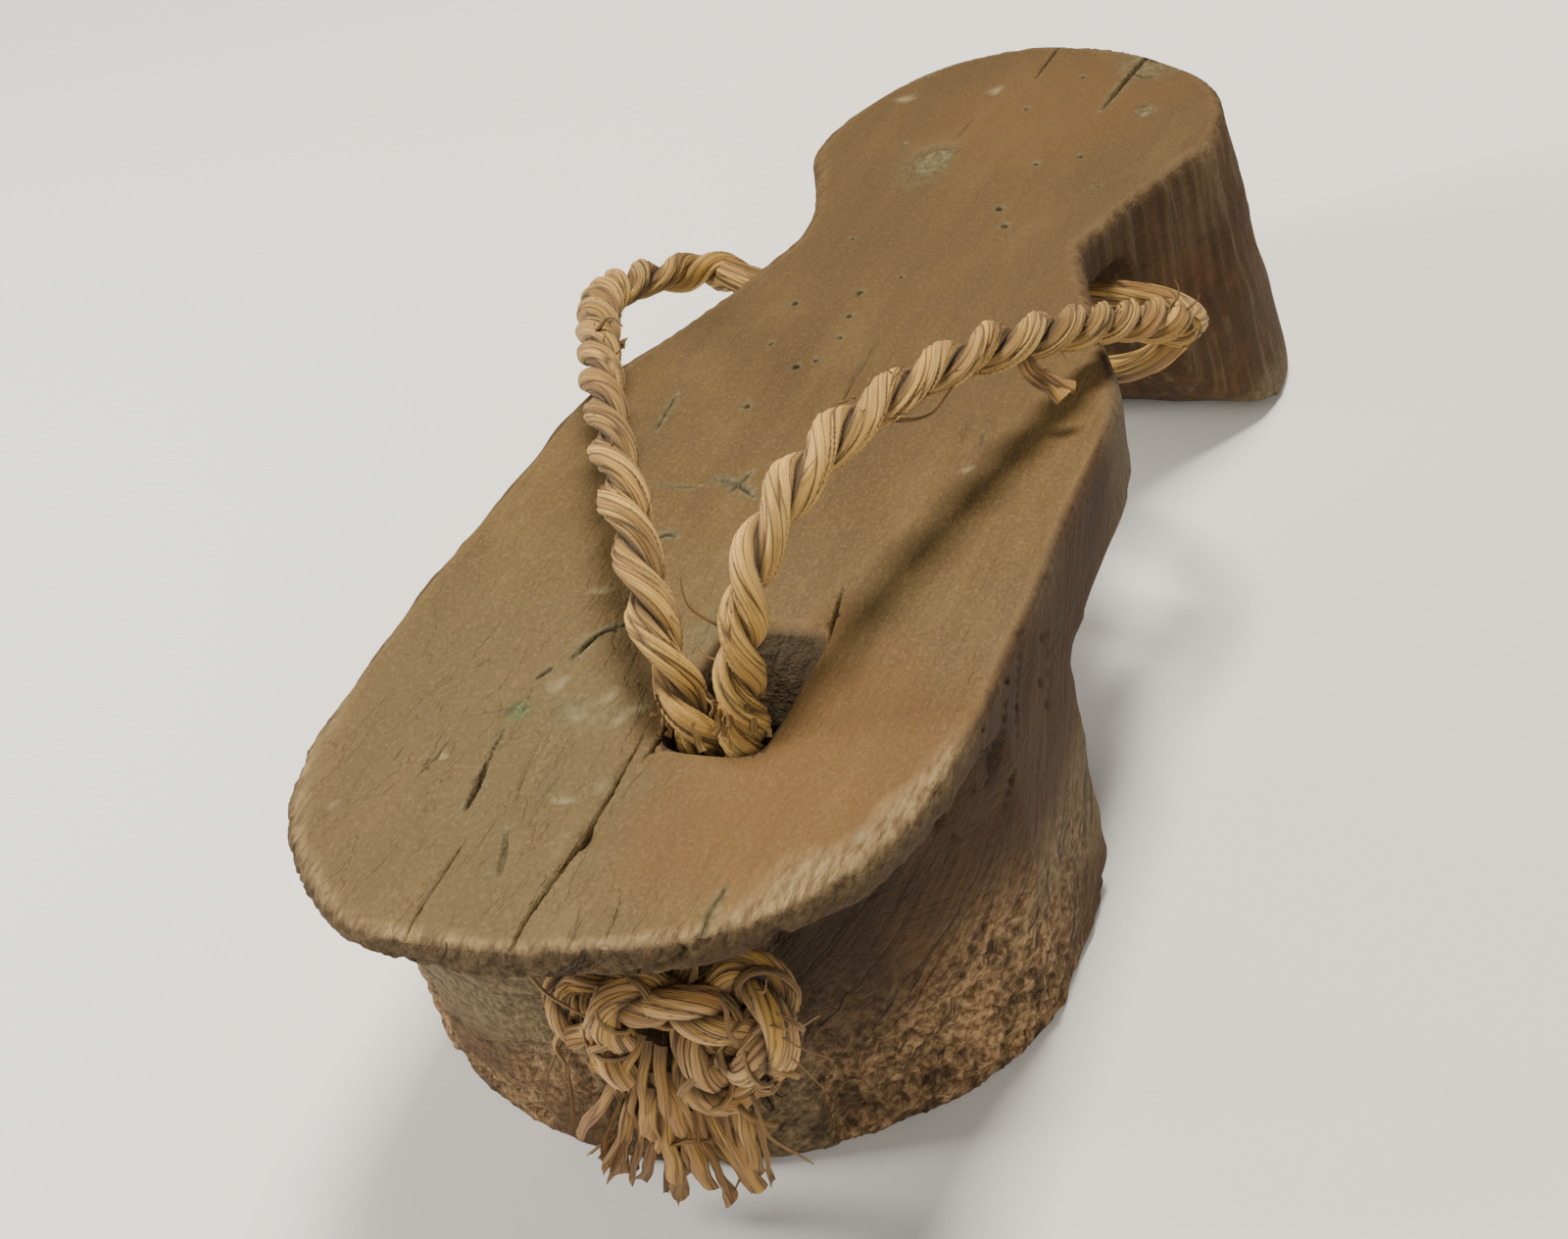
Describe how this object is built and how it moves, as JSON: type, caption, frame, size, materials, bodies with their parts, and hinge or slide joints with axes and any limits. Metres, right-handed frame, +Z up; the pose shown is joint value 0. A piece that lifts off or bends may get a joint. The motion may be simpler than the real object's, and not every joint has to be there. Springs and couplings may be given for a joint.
{
  "type": "wooden thong sandal",
  "caption": "Hand-carved wooden sandal on two blocks, with a twisted straw rope thong knotted at the toe.",
  "frame": {"origin": "on the floor under the middle of the sandal's whole footprint, rope included", "axes": "-Y towards the toe, +Y towards the heel, +X towards the big-toe side of this right sandal, +Z up"},
  "size_m": [0.1046, 0.244, 0.0854],
  "materials": {
    "wooden_sole": "weathered bare wood, tool-marked and cracked",
    "rope_thong": "dry twisted straw",
    "knot_left": "dry frayed straw",
    "knot_right": "dry frayed straw"
  },
  "bodies": {
    "root": {"wooden_sole": "wooden_sole", "rope_thong": "rope_thong", "knot_left": "knot_left", "knot_right": "knot_right"}
  },
  "joints": []
}
